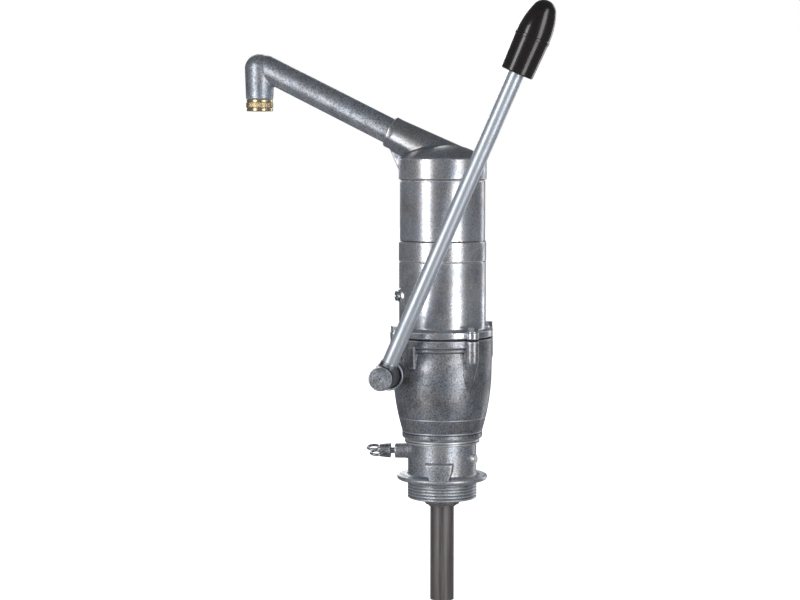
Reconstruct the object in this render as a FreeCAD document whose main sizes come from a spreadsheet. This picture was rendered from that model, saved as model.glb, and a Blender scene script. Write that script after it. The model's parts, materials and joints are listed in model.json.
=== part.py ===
import FreeCAD, Part
import math
import operator
import os
from types import SimpleNamespace

import Sketcher
from FreeCAD import Placement, Rotation, Vector

# Hand well pump. Millimetres, +Z up. The origin is on the pump's own axis, in the plane of the
# underside of the base flange. The lever is on the -Y side and the spout points to -X.

DIMENSIONS = {
    # base casting
    "base_clocking": 7.4,
    "thread_radius": 36.5,
    "thread_pitch": 3.175,
    "thread_depth": 1.3,
    "thread_length": 19.8,
    "thread_relief": 2.1,
    "base_bore": 30.0,
    "base_floor": 10.0,
    "rim_radius": 47.4,
    "rim_height": 5.0,
    "neck_radius": 36.0,
    "neck_top": 38.7,
    "spigot_radius": 33.0,
    "spigot_top": 56.0,
    "seal_groove": 45.4,
    "seal_groove_depth": 1.8,
    "swivel_seal_radius": 1.0,
    "retainer_groove": 51.8,
    "retainer_thickness": 1.5,
    "lug_height": 20.5,
    "lug_top_width": 28.0,
    "lug_foot_width": 19.0,
    "drain_height": 29.1,
    "drain_boss_radius": 8.0,
    "drain_boss_end": 49.7,
    "drain_seat": 35.0,
    "drain_screw_radius": 3.2,
    "drain_port_radius": 1.8,
    "drain_knob_start": 54.4,
    "drain_knob_length": 11.2,
    "drain_knob_radius": 8.0,
    "wing_radius": 6.2,
    "wing_wire": 1.5,
    "wing_offset": 7.5,
    "wing_tilt": 13.0,
    "upper_wing_reach": 73.3,
    "lower_wing_reach": 68.3,
    "plug_height": 23.0,
    "plug_radius": 4.8,
    "plug_azimuth": 68.6,
    # suction line
    "pipe_radius": 12.5,
    "pipe_wall": 2.3,
    "pipe_end": -128.0,
    "pipe_shoulder": -29.1,
    "pipe_thread_radius": 12.0,
    "union_radius": 18.6,
    "union_thread": 16.0,
    "union_bottom": -26.9,
    "seat_bore": 10.0,
    "valve_lift": 7.0,
    "valve_radius": 15.0,
    "valve_seal": 2.5,
    "stem_radius": 3.0,
    # swivel
    "ring_radius": 39.2,
    "ring_top": 43.9,
    "swivel_gap": 0.3,
    # bowl
    "bowl_foot_radius": 42.0,
    "bowl_foot_top": 51.3,
    "bowl_shoulder_height": 106.9,
    "bowl_side_arc": 228.0,
    "bowl_shoulder_radius": 51.4,
    "bowl_top_radius": 52.3,
    "bowl_wall": 4.5,
    "bowl_top": 149.4,
    "flange_radius": 52.3,
    "flange_height": 8.0,
    "gasket_height": 1.5,
    "lobe_radius": 6.5,
    "bolt_circle": 56.4,
    "bolt_radius": 3.0,
    "bolt_flats": 10.0,
    "washer_height": 1.2,
    "shaft_offset": -45.0,
    "shaft_height": 113.4,
    "boss_radius": 14.8,
    "boss_face": -55.0,
    "tunnel_back": 34.0,
    "tunnel_wall": 2.6,
    "chamber_half": 17.0,
    "bush_radius": 9.5,
    "pocket_foot": 108.9,
    "pocket_root_radius": 46.4,
    "pocket_lip_radius": 51.9,
    "pocket_arc": 60.0,
    "bead_radius": 50.0,
    "bead_height": 4.5,
    "web_thickness": 7.2,
    "web_reach": 53.4,
    "web_azimuth": -25.0,
    # cylinder and upper casting
    "cylinder_bore": 40.0,
    "cylinder_radius": 45.3,
    "cylinder_top": 228.9,
    "band_radius": 45.6,
    "band_top": 249.9,
    "tube_radius": 44.4,
    "tube_bore": 39.5,
    "tube_top": 313.9,
    "spigot_wall": 2.5,
    "spigot_depth": 8.0,
    "seal_height": 1.5,
    "vent_height": 193.4,
    "vent_azimuth": -60.0,
    "vent_radius": 5.1,
    "vent_shank": 3.0,
    "vent_washer_height": 0.6,
    # cap and spout
    "cap_radius": 45.75,
    "cap_top": 334.9,
    "cap_rise": 16.0,
    "cap_wall": 5.0,
    "spout_slope": 26.5,
    "spout_start": 335.9,
    "socket_reach": -55.8,
    "socket_radius": 16.2,
    "socket_root_radius": 21.5,
    "socket_root": -42.5,
    "spout_radius": 13.6,
    "spout_bore": 10.5,
    "spout_depth": 32.0,
    "outlet_reach": -198.6,
    "elbow_height": 430.8,
    "elbow_radius": 15.6,
    "nozzle_radius": 14.6,
    "nozzle_end": 398.4,
    "nozzle_thread": 12.6,
    "outlet_ring_radius": 14.2,
    "outlet_ring_bottom": 385.9,
    "outlet_bore": 10.0,
    # lever
    "shaft_radius": 7.5,
    "hub_radius": 12.3,
    "hub_length": 35.0,
    "rod_radius": 8.0,
    "rod_plane": -76.0,
    "lever_angle": 23.9,
    "lever_length": 411.5,
    "grip_length": 77.0,
    "grip_foot_radius": 16.8,
    "grip_ridge_radius": 18.2,
    "grip_ridge_height": 39.0,
    # rocker arm and piston
    "arm_hub_radius": 11.5,
    "arm_half_width": 16.0,
    "arm_gap": 10.6,
    "arm_end_radius": 8.0,
    "crank_pin_radius": 4.0,
    "lock_pin_radius": 2.0,
    "roller_radius": 7.0,
    "slot_clearance": 0.7,
    "slot_half_length": 14.5,
    "block_half_width": 10.0,
    "block_half_length": 19.0,
    "block_wall": 6.0,
    "piston_bottom": 158.9,
    "piston_height": 20.0,
    "piston_radius": 39.2,
    "seal_depth": 4.2,
    "seal_width": 4.5,
    "piston_valve_thickness": 2.5,
    "piston_rod_radius": 6.0,
    "port_circle": 24.0,
    "port_radius": 5.5,
    "running_gap": 0.05,
}

OPERATORS = {"+": operator.add, "-": operator.sub, "*": operator.mul, "/": operator.truediv}
ORIGIN = Vector(0, 0, 0)
UP = Vector(0, 0, 1)
FRONT = Vector(0, -1, 0)
LEFT = Vector(-1, 0, 0)
BACK = Vector(0, 1, 0)

doc = FreeCAD.newDocument("hand_well_pump")
sheet = doc.addObject("Spreadsheet::Sheet", "Dims")
subparts = []


class Size:
    """A length that carries both its number and the spreadsheet expression that gives it."""

    def __init__(self, number, text):
        self.number = float(number)
        self.text = text

    def __add__(self, other):
        return joined(self, "+", other)

    def __radd__(self, other):
        return joined(other, "+", self)

    def __sub__(self, other):
        return joined(self, "-", other)

    def __rsub__(self, other):
        return joined(other, "-", self)

    def __mul__(self, other):
        return joined(self, "*", other)

    def __rmul__(self, other):
        return joined(other, "*", self)

    def __truediv__(self, other):
        return joined(self, "/", other)

    def __neg__(self):
        return joined(0, "-", self)


def as_size(value):
    """A plain number as a Size; a Size stays as it is."""
    if isinstance(value, Size):
        return value
    return Size(value, repr(float(value)))


def joined(left, sign, right):
    """The Size of two sizes joined by an arithmetic sign."""
    left = as_size(left)
    right = as_size(right)
    number = OPERATORS[sign](left.number, right.number)
    return Size(number, f"({left.text} {sign} {right.text})")


def fill_sheet():
    """Write every driving dimension to the sheet under its alias, and return them as sizes."""
    sizes = SimpleNamespace()
    for row, (alias, number) in enumerate(DIMENSIONS.items(), start=1):
        sheet.set(f"A{row}", alias)
        sheet.set(f"B{row}", str(number))
        sheet.setAlias(f"B{row}", alias)
        setattr(sizes, alias, Size(number, f"Dims.{alias}"))
    return sizes


dim = fill_sheet()
doc.recompute()


# ---------------------------------------------------------------- helpers: bound features


def bind(feature, **sizes):
    """Give a feature's properties their sizes, bound to the sheet."""
    for name, value in sizes.items():
        size = as_size(value)
        setattr(feature, name, size.number)
        feature.setExpression(name, size.text)
    return feature


def place(feature, x=0, y=0, z=0, rotation=Rotation()):
    """Put a feature at a bound position."""
    spot = [as_size(x), as_size(y), as_size(z)]
    feature.Placement = Placement(Vector(*[size.number for size in spot]), rotation)
    for letter, size in zip("xyz", spot):
        feature.setExpression(f"Placement.Base.{letter}", size.text)
    return feature


def turn_to(direction):
    """The rotation that takes +Z to a direction."""
    return Rotation(UP, direction)


def cylinder(radius, height, x=0, y=0, z=0, direction=UP, name="Cylinder"):
    feature = doc.addObject("Part::Cylinder", name)
    bind(feature, Radius=radius, Height=height)
    return place(feature, x, y, z, turn_to(direction))


def cone(radius, top_radius, height, x=0, y=0, z=0, direction=UP, name="Cone"):
    feature = doc.addObject("Part::Cone", name)
    bind(feature, Radius1=radius, Radius2=top_radius, Height=height)
    return place(feature, x, y, z, turn_to(direction))


def ball(radius, x=0, y=0, z=0):
    feature = doc.addObject("Part::Sphere", "Ball")
    bind(feature, Radius=radius)
    return place(feature, x, y, z)


def ring(ring_radius, wire_radius, z):
    feature = doc.addObject("Part::Torus", "Ring")
    bind(feature, Radius1=ring_radius, Radius2=wire_radius)
    return place(feature, z=z)


def box(low, high):
    """A box between two corners, each three sizes."""
    feature = doc.addObject("Part::Box", "Block")
    length, width, height = [as_size(top) - as_size(bottom) for bottom, top in zip(low, high)]
    bind(feature, Length=length, Width=width, Height=height)
    return place(feature, *low)


def prism(circumradius, height, x=0, y=0, z=0, direction=UP):
    """A hexagonal prism."""
    feature = doc.addObject("Part::Prism", "Hexagon")
    feature.Polygon = 6
    bind(feature, Circumradius=circumradius, Height=height)
    return place(feature, x, y, z, turn_to(direction))


def fuse(*features):
    result = doc.addObject("Part::MultiFuse", "Fusion")
    result.Shapes = list(features)
    result.Refine = True
    return result


def cut(base, *tools):
    """The base with every tool cut away."""
    result = doc.addObject("Part::Cut", "Cutting")
    result.Base = base
    result.Tool = tools[0] if len(tools) == 1 else fuse(*tools)
    result.Refine = True
    return result


def common(first, second):
    result = doc.addObject("Part::Common", "Overlap")
    result.Base = first
    result.Tool = second
    return result


def group(*features):
    """Separate solids kept together as one sub-part."""
    result = doc.addObject("Part::Compound", "Group")
    result.Links = list(features)
    return result


def subpart(feature, label, placement=Placement()):
    """Name a finished feature and list it for export."""
    feature.Label = label
    if not placement.isIdentity():
        feature.Placement = placement
    subparts.append(feature)
    return feature


# ---------------------------------------------------------------- helpers: sketched outlines


def arc_between(start, end, radius):
    """The arc from start to end, its centre left of the way for a positive radius."""
    chord = end - start
    half = chord.Length / 2
    rise = math.sqrt(max(radius * radius - half * half, 0))
    side = Vector(-chord.y, chord.x, 0).normalize()
    centre = start + chord / 2 + side * math.copysign(rise, radius)
    first, last = (start, end) if radius > 0 else (end, start)
    from_angle = math.atan2(first.y - centre.y, first.x - centre.x)
    to_angle = math.atan2(last.y - centre.y, last.x - centre.x)
    return Part.ArcOfCircle(Part.Circle(centre, UP, abs(radius)), from_angle, to_angle)


def origin_plane(body, role):
    return [item for item in body.Origin.OriginFeatures if item.Role == role][0]


def outline(body, role, corners):
    """A sketch of one closed outline. A corner is (across, up) or, at the end of an arc,
    (across, up, radius), positive where the arc's centre lies left of the way round."""
    sketch = body.newObject("Sketcher::SketchObject", "Outline")
    sketch.AttachmentSupport = [(origin_plane(body, role), "")]
    sketch.MapMode = "FlatFace"
    points = [Vector(as_size(corner[0]).number, as_size(corner[1]).number, 0) for corner in corners]
    reversed_arcs = []
    for index, corner in enumerate(corners):
        start = points[index - 1]
        if len(corner) == 3:
            radius = as_size(corner[2]).number
            sketch.addGeometry(arc_between(start, points[index], radius))
            reversed_arcs.append(radius < 0)
        else:
            sketch.addGeometry(Part.LineSegment(start, points[index]))
            reversed_arcs.append(False)
    bind_outline(sketch, corners, reversed_arcs)
    return sketch


def bind_outline(sketch, corners, reversed_arcs):
    """Join the edges of an outline and bind every corner and arc to its sizes."""
    origin_point = (-1, 1)
    count = len(corners)
    for index, corner in enumerate(corners):
        end = 1 if reversed_arcs[index] else 2
        following = (index + 1) % count
        start = 2 if reversed_arcs[following] else 1
        sketch.addConstraint(Sketcher.Constraint("Coincident", index, end, following, start))
        for kind, axis, value in (("DistanceX", -2, corner[0]), ("DistanceY", -1, corner[1])):
            size = as_size(value)
            if size.number == 0:
                sketch.addConstraint(Sketcher.Constraint("PointOnObject", index, end, axis))
                continue
            constraint = Sketcher.Constraint(kind, *origin_point, index, end, size.number)
            name_constraint(sketch, sketch.addConstraint(constraint), f"{kind}{index}", size)
        if len(corner) == 3:
            size = as_size(corner[2])
            text = f"abs({size.text})"
            constraint = Sketcher.Constraint("Radius", index, abs(size.number))
            name_constraint(sketch, sketch.addConstraint(constraint), f"Radius{index}", Size(0, text))


def name_constraint(sketch, number, name, size):
    sketch.renameConstraint(number, name)
    sketch.setExpression(f"Constraints.{name}", size.text)


def turned(corners, name="Turning"):
    """A body made by turning an outline of (radius, height) corners about the Z axis."""
    body = doc.addObject("PartDesign::Body", name)
    sketch = outline(body, "XZ_Plane", corners)
    feature = body.newObject("PartDesign::Revolution", "Revolution")
    feature.Profile = (sketch, [""])
    feature.ReferenceAxis = (sketch, ["V_Axis"])
    feature.Angle = 360
    body.Tip = feature
    return body


def plate(corners, thickness, role="XZ_Plane", name="Plate"):
    """A body made by padding an outline evenly to both sides of an origin plane."""
    body = doc.addObject("PartDesign::Body", name)
    sketch = outline(body, role, corners)
    feature = body.newObject("PartDesign::Pad", "Pad")
    feature.Profile = (sketch, [""])
    feature.SideType = "Symmetric"
    bind(feature, Length=thickness)
    body.Tip = feature
    return body


def ring_outline(inner, outer, bottom, top):
    """The four corners of a plain ring's section."""
    return [(inner, bottom), (outer, bottom), (outer, top), (inner, top)]


def around(angle):
    """The level direction at an azimuth: 0 is the front, positive towards +X."""
    radians = math.radians(angle)
    return Vector(math.sin(radians), -math.cos(radians), 0)


def radial(feature, angle, radius, height):
    """Put a feature on an azimuth, at a radius and height, its own +Z pointing outwards."""
    way = around(angle)
    return place(feature, radius * way.x, radius * way.y, height, turn_to(way))


# ---------------------------------------------------------------- base casting and suction


BASE_PLACEMENT = Placement(ORIGIN, Rotation(UP, dim.base_clocking.number))


def thread_outline():
    """Corners of the pipe thread's section, from the chamfered foot up to the relief."""
    chamfer = 1.1
    crest = 0.45
    root = dim.thread_radius - dim.thread_depth
    foot = -dim.thread_length
    corners = [(root - chamfer / 4, foot), (dim.thread_radius, foot + chamfer)]
    threaded = dim.thread_length.number - dim.thread_relief.number - chamfer - crest
    turns = int(threaded / dim.thread_pitch.number)
    for turn in range(turns):
        low = foot + chamfer + crest + dim.thread_pitch * turn
        corners.append((dim.thread_radius, low))
        corners.append((root, low + (dim.thread_pitch - crest) / 2))
        corners.append((dim.thread_radius, low + dim.thread_pitch - crest))
    corners.append((dim.thread_radius, -dim.thread_relief - crest))
    corners.append((root, -dim.thread_relief))
    corners.append((root, 0))
    return corners


def along_drain(radius, start, end):
    """A cylinder on the drain screw's axis between two distances from the pump's axis."""
    length = as_size(end) - as_size(start)
    return cylinder(radius, length, -as_size(start), 0, dim.drain_height, LEFT)


def at_plug(feature, reach):
    """Put a feature on the side plug's axis."""
    return radial(feature, dim.plug_azimuth.number, reach, dim.plug_height)


def base_profile():
    """Corners of the base casting's section, from its foot round the outside to its floor."""
    rim_arc = 2.2
    neck_fillet = 3.3
    spigot_chamfer = 0.6
    groove_root = dim.spigot_radius - dim.seal_groove_depth
    groove_top = dim.seal_groove + dim.swivel_seal_radius * 2 + 0.4
    retainer_root = dim.spigot_radius - 1.4
    retainer_top = dim.retainer_groove + dim.retainer_thickness + 0.1
    floor = dim.base_floor - dim.thread_length
    corners = [(dim.union_thread, -dim.thread_length)] + thread_outline()
    corners += [
        (dim.rim_radius - rim_arc, 0),
        (dim.rim_radius, rim_arc, rim_arc),
        (dim.rim_radius, dim.rim_height - rim_arc),
        (dim.rim_radius - rim_arc, dim.rim_height, rim_arc),
        (dim.neck_radius + neck_fillet, dim.rim_height),
        (dim.neck_radius, dim.rim_height + neck_fillet, -neck_fillet),
        (dim.neck_radius, dim.neck_top),
        (dim.spigot_radius, dim.neck_top),
        (dim.spigot_radius, dim.seal_groove),
        (groove_root, dim.seal_groove),
        (groove_root, groove_top),
        (dim.spigot_radius, groove_top),
        (dim.spigot_radius, dim.retainer_groove),
        (retainer_root, dim.retainer_groove),
        (retainer_root, retainer_top),
        (dim.spigot_radius, retainer_top),
        (dim.spigot_radius, dim.spigot_top - spigot_chamfer),
        (dim.spigot_radius - spigot_chamfer, dim.spigot_top),
        (dim.base_bore, dim.spigot_top),
        (dim.base_bore, floor),
        (dim.union_thread, floor),
    ]
    return corners


def base_casting():
    """Threaded foot, round flange, neck and the spigot that the upper body turns on."""
    boss_root = dim.base_bore + 1
    plug_root = dim.base_bore - 2
    casting = turned(base_profile())
    boss = along_drain(dim.drain_boss_radius, boss_root, dim.drain_boss_end)
    pad = at_plug(cylinder(dim.plug_radius + 1.2, 5.5), dim.neck_radius - 4.5)
    screw_hole = along_drain(dim.drain_screw_radius + dim.running_gap, dim.drain_seat, dim.drain_boss_end + 1)
    drain_hole = along_drain(dim.drain_port_radius, plug_root, dim.drain_seat + 1)
    plug_hole = at_plug(cylinder(dim.plug_radius, 12), plug_root)
    body = cut(fuse(casting, wrench_lugs(), boss, pad), screw_hole, drain_hole, plug_hole)
    return subpart(body, "base_casting", BASE_PLACEMENT)


def wrench_lugs():
    """The two lugs, front and back, that a spanner turns the base by; each narrows to its foot."""
    foot = dim.lug_foot_width / 2
    top = dim.lug_top_width / 2
    shoulder = (foot + top * 3) / 4
    shoulder_height = 12.0
    bar = plate([
        (-foot, dim.rim_height - 1),
        (foot, dim.rim_height - 1),
        (shoulder, shoulder_height),
        (top, dim.lug_height),
        (-top, dim.lug_height),
        (-shoulder, shoulder_height),
    ], dim.rim_radius * 2)
    rounded = common(bar, cylinder(dim.rim_radius - 1.2, dim.lug_height))
    return cut(rounded, cylinder(dim.base_bore + 2, dim.lug_height + 1))


def suction_union():
    """The union screwed into the base floor: it holds the pipe and its top is the valve seat."""
    floor = dim.base_floor - dim.thread_length
    lip = 1.6
    bottom_arc = 3.0
    socket = dim.pipe_thread_radius + 0.02
    body = turned([
        (dim.pipe_radius + 0.1, dim.union_bottom - lip),
        (dim.pipe_radius + 1.7, dim.union_bottom - lip),
        (dim.pipe_radius + 1.7, dim.union_bottom),
        (dim.union_radius - bottom_arc, dim.union_bottom),
        (dim.union_radius, dim.union_bottom + bottom_arc, bottom_arc),
        (dim.union_radius, -dim.thread_length),
        (dim.union_thread, -dim.thread_length),
        (dim.union_thread, floor + 3),
        (dim.seat_bore, floor + 3),
        (dim.seat_bore, floor - 4),
        (socket, floor - 4),
        (socket, dim.union_bottom - lip + 0.5),
        (dim.pipe_radius + 0.1, dim.union_bottom - lip + 0.5),
    ])
    return subpart(body, "suction_union", BASE_PLACEMENT)


def suction_pipe():
    """Steel pipe with its thinner threaded end screwed into the union."""
    top = dim.base_floor - dim.thread_length - 4.5
    bore = dim.pipe_radius - dim.pipe_wall
    body = turned([
        (bore, dim.pipe_end),
        (dim.pipe_radius, dim.pipe_end),
        (dim.pipe_radius, dim.pipe_shoulder),
        (dim.pipe_thread_radius, dim.pipe_shoulder),
        (dim.pipe_thread_radius, top),
        (bore, top),
    ])
    return subpart(body, "suction_pipe", BASE_PLACEMENT)


def valve_levels():
    """Heights of the suction valve: floor, seat, top of the disc, stop and top of the cage."""
    floor = dim.base_floor - dim.thread_length
    seat = floor + 3
    disc_top = seat + dim.valve_seal + 3
    stop = disc_top + dim.valve_lift
    return floor, seat, disc_top, stop, stop + 3


def suction_valve_cage():
    """Cage above the valve seat: a foot ring, three posts and the plate that stops the disc."""
    floor, seat, _, stop, plate_top = valve_levels()
    cage_radius = dim.valve_radius + 9
    post_circle = dim.valve_radius + 5.5
    post_height = plate_top - floor - 1
    parts = [
        turned(ring_outline(dim.valve_radius + 2, cage_radius, floor + 0.05, seat)),
        turned(ring_outline(dim.stem_radius + dim.running_gap, cage_radius, stop, plate_top)),
    ]
    for angle in (0, 120, 240):
        way = around(angle)
        parts.append(cylinder(2.5, post_height, post_circle * way.x, post_circle * way.y, floor + 0.5))
    return subpart(fuse(*parts), "suction_valve_cage", BASE_PLACEMENT)


def suction_valve_seal():
    seat = valve_levels()[1]
    seal = turned(ring_outline(dim.stem_radius, dim.valve_radius, seat, seat + dim.valve_seal))
    return subpart(seal, "suction_valve_seal", BASE_PLACEMENT)


def suction_valve_disc():
    """Disc with its guide stem above and the button that holds the seal below."""
    _, seat, disc_top, _, plate_top = valve_levels()
    stem_top = plate_top + 4
    neck = dim.stem_radius - 0.02
    body = turned([
        (0, seat - 2),
        (dim.stem_radius + 2, seat - 2),
        (dim.stem_radius + 2, seat - 0.02),
        (neck, seat - 0.02),
        (neck, seat + dim.valve_seal),
        (dim.valve_radius, seat + dim.valve_seal),
        (dim.valve_radius, disc_top),
        (dim.stem_radius, disc_top),
        (dim.stem_radius, stem_top),
        (0, stem_top),
    ])
    return subpart(body, "suction_valve_disc", BASE_PLACEMENT)


def swivel_ring():
    """Thrust ring between the neck of the base and the foot of the bowl."""
    inner = dim.spigot_radius + dim.running_gap
    chamfer = 0.8
    body = turned([
        (inner, dim.neck_top),
        (dim.ring_radius - chamfer, dim.neck_top),
        (dim.ring_radius, dim.neck_top + chamfer),
        (dim.ring_radius, dim.ring_top - chamfer),
        (dim.ring_radius - chamfer, dim.ring_top),
        (inner, dim.ring_top),
    ])
    return subpart(body, "swivel_ring", BASE_PLACEMENT)


def swivel_seal():
    """O-ring in the spigot's groove, on which the bowl's bore turns."""
    middle = dim.seal_groove + dim.swivel_seal_radius + 0.2
    circle = dim.spigot_radius - dim.seal_groove_depth + dim.swivel_seal_radius + 0.02
    return subpart(group(ring(circle, dim.swivel_seal_radius, middle)), "swivel_seal", BASE_PLACEMENT)


def retaining_ring():
    """Split ring that keeps the bowl on its spigot."""
    bottom = dim.retainer_groove + 0.05
    top = bottom + dim.retainer_thickness
    reach = dim.spigot_radius + 2.5
    body = turned(ring_outline(dim.spigot_radius - 1.35, reach, bottom, top))
    split = box((-2, -(reach + 1), bottom - 1), (2, 0, top + 1))
    return subpart(cut(body, split), "retaining_ring", BASE_PLACEMENT)


def drain_seal():
    """The small seal at the bottom of the drain screw's hole."""
    start = dim.drain_seat + 0.05
    seal = along_drain(dim.drain_screw_radius - 0.1, start, start + 1.5)
    return subpart(group(seal), "drain_seal", BASE_PLACEMENT)


def wing(reach, side):
    """One wire loop of the drain screw, on the given side of its axis."""
    loop = doc.addObject("Part::Torus", "Wing")
    bind(loop, Radius1=dim.wing_radius, Radius2=dim.wing_wire)
    tilt = math.radians(dim.wing_tilt.number)
    across = dim.wing_offset * side * math.cos(tilt)
    rise = dim.wing_offset * side * math.sin(tilt)
    return place(loop, -reach, across, dim.drain_height + rise, Rotation(LEFT, 180 - dim.wing_tilt.number))


def drain_wing_screw():
    """Drain screw with a tapered knob, a web and two wire loops for the fingers."""
    start = dim.drain_seat + 1.6
    web_half = 1.6
    knob_end = dim.drain_knob_start + dim.drain_knob_length
    stem = along_drain(dim.drain_screw_radius, start, dim.drain_knob_start + 1)
    knob = cone(dim.drain_knob_radius, dim.drain_knob_radius - 1.1, dim.drain_knob_length,
                -dim.drain_knob_start, 0, dim.drain_height, LEFT)
    web = box((-(knob_end + 1.5), -dim.wing_offset, dim.drain_height - web_half),
              (-(dim.drain_knob_start + 2), dim.wing_offset, dim.drain_height + web_half))
    wings = [wing(dim.lower_wing_reach, -1), wing(dim.upper_wing_reach, 1)]
    return subpart(fuse(stem, knob, web, *wings), "drain_wing_screw", BASE_PLACEMENT)


def side_plug():
    """Blind plug in the side of the neck."""
    plug = at_plug(cylinder(dim.plug_radius - 0.02, 8.5), dim.base_bore + 0.5)
    return subpart(group(plug), "side_plug", BASE_PLACEMENT)


# ---------------------------------------------------------------- bowl


BOLT_AZIMUTHS = (45, 135, 225, 315)


def bolt_spot(angle):
    """Where a bolt stands, as x and y sizes."""
    way = around(angle)
    return dim.bolt_circle * way.x, dim.bolt_circle * way.y


def column(angle):
    """The lobe under one bolt and the rib that leans from it into the bowl's wall below."""
    lobe_height = 21
    foot_radius = 43.5
    lean_height = 32
    way = around(angle)
    spot = bolt_spot(angle)
    lobe = cylinder(dim.lobe_radius, lobe_height, *spot, dim.bowl_top - lobe_height)
    foot = way * foot_radius + UP * (dim.bowl_top.number - lobe_height - lean_height)
    head = way * dim.bolt_circle.number + UP * (dim.bowl_top.number - lobe_height)
    lean = head - foot
    rib = cylinder(dim.lobe_radius, lean.Length, foot.x, foot.y, foot.z, lean)
    return [lobe, rib, ball(dim.lobe_radius, *spot, dim.bowl_top - lobe_height)]


def bowl_outer():
    """The egg-shaped outside of the bowl, with its foot ring and top flange, as a solid."""
    foot = dim.ring_top + dim.swivel_gap
    return turned([
        (0, foot),
        (dim.bowl_foot_radius - 1, foot),
        (dim.bowl_foot_radius, foot + 1),
        (dim.bowl_foot_radius, dim.bowl_foot_top),
        (dim.bowl_foot_radius + 0.8, dim.bowl_foot_top + 3.2),
        (dim.bowl_shoulder_radius, dim.bowl_shoulder_height, dim.bowl_side_arc),
        (dim.bowl_top_radius, dim.bowl_top - dim.flange_height),
        (dim.bowl_top_radius, dim.bowl_top),
        (0, dim.bowl_top),
    ])


def bowl_cavity():
    """The water space, narrower at the swivel bore below and at the cylinder bore above."""
    foot = dim.ring_top + dim.swivel_gap - 1
    swivel_bore = dim.spigot_radius + dim.swivel_gap
    ledge = dim.bowl_foot_top
    inside_foot = dim.bowl_foot_radius - dim.bowl_wall
    inside = dim.bowl_shoulder_radius - dim.bowl_wall
    mouth = dim.cylinder_bore + 0.5
    return turned([
        (0, foot),
        (swivel_bore, foot),
        (swivel_bore, ledge),
        (inside_foot, ledge),
        (inside_foot, ledge + 4),
        (inside, dim.bowl_shoulder_height, dim.bowl_side_arc),
        (inside, dim.bowl_shoulder_height + 8),
        (mouth, dim.bowl_top - dim.flange_height),
        (mouth, dim.bowl_top + 1),
        (0, dim.bowl_top + 1),
    ])


def front_pocket():
    """The recess under the flange, between the front right bolt column and the shaft's web."""
    from_azimuth = -21
    to_azimuth = 40
    roof = dim.bowl_top - dim.flange_height
    bead_foot = roof - dim.bead_height
    outer = dim.bolt_circle + 6
    body = doc.addObject("PartDesign::Body", "Pocket")
    sketch = outline(body, "XZ_Plane", [
        (dim.bead_radius, roof),
        (dim.bead_radius, bead_foot),
        (dim.pocket_root_radius, bead_foot),
        (dim.pocket_lip_radius, dim.pocket_foot, -dim.pocket_arc),
        (outer, dim.pocket_foot),
        (outer, roof),
    ])
    sweep = body.newObject("PartDesign::Revolution", "Sweep")
    sweep.Profile = (sketch, [""])
    sweep.ReferenceAxis = (sketch, ["V_Axis"])
    sweep.Angle = to_azimuth - from_azimuth
    body.Tip = sweep
    body.Placement = Placement(ORIGIN, Rotation(UP, from_azimuth - 90))
    return body


def shaft_web():
    """The upright rib beside the pocket, carrying the flange's load to the shaft boss."""
    half = dim.web_thickness / 2
    roof = dim.bowl_top - dim.flange_height
    rib = box((-half, -dim.web_reach, roof - 21.5), (half, -(dim.web_reach - 9.4), roof + 1))
    turned_rib = group(rib)
    turned_rib.Placement = Placement(ORIGIN, Rotation(UP, dim.web_azimuth.number))
    return turned_rib


def along_shaft(radius, front, back):
    """A cylinder on the lever shaft's axis between two Y positions."""
    length = as_size(back) - as_size(front)
    return cylinder(radius, length, dim.shaft_offset, back, dim.shaft_height, FRONT)


def bolt_holes(clearance, bottom, height):
    """Cutters for the four bolt holes."""
    radius = dim.bolt_radius + clearance
    return [cylinder(radius, height, *bolt_spot(angle), bottom) for angle in BOLT_AZIMUTHS]


def seal_notch():
    """The small drain notch at the front of the bowl's foot ring."""
    half = 4.5
    foot = dim.ring_top + dim.swivel_gap
    face = dim.bowl_foot_radius
    return box((-half, -(face + 1), foot - 1), (half, -(face - 3), foot + 2.4))


def bowl_housing():
    """Lower body: bowl, flange lobes and the tunnel across its left side for the lever shaft."""
    lip = 0.9
    tunnel = along_shaft(dim.boss_radius, dim.boss_face, dim.tunnel_back)
    tunnel_lip = along_shaft(dim.boss_radius + lip, dim.boss_face, dim.boss_face + 2.2)
    columns = [part for angle in BOLT_AZIMUTHS for part in column(angle)]
    outside = fuse(cut(bowl_outer(), front_pocket()), *columns, shaft_web(), tunnel, tunnel_lip)
    chamber = along_shaft(dim.boss_radius - dim.tunnel_wall, -dim.chamber_half, dim.chamber_half)
    bush_bore = along_shaft(dim.bush_radius, dim.boss_face + 3, dim.tunnel_back - 4)
    recess = along_shaft(dim.hub_radius + lip, dim.boss_face - 1, dim.boss_face + 4)
    holes = bolt_holes(0.02, dim.bowl_top - 21, 22)
    body = cut(outside, bowl_cavity(), chamber, bush_bore, recess, seal_notch(), *holes)
    return subpart(body, "bowl_housing")


def shaft_bearings():
    """Front and rear bushes, the shaft seal and its gland ring."""
    inner = dim.shaft_radius + dim.running_gap
    outer = dim.bush_radius - 0.02
    spans = {
        "front_bush": (dim.boss_face + 15, -dim.chamber_half - 0.1),
        "shaft_seal": (dim.boss_face + 9, dim.boss_face + 14.95),
        "shaft_gland": (dim.boss_face + 4.1, dim.boss_face + 8.95),
        "rear_bush": (dim.chamber_half + 0.1, dim.tunnel_back - 4.1),
    }
    for name, (front, back) in spans.items():
        subpart(cut(along_shaft(outer, front, back), along_shaft(inner, front - 1, back + 1)), name)


def flange_plan(radius, lobe, bottom, height):
    """A round plate with a lobe at each bolt."""
    disc = cylinder(radius, height, z=bottom)
    ears = [cylinder(lobe, height, *bolt_spot(angle), bottom) for angle in BOLT_AZIMUTHS]
    return fuse(disc, *ears)


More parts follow.
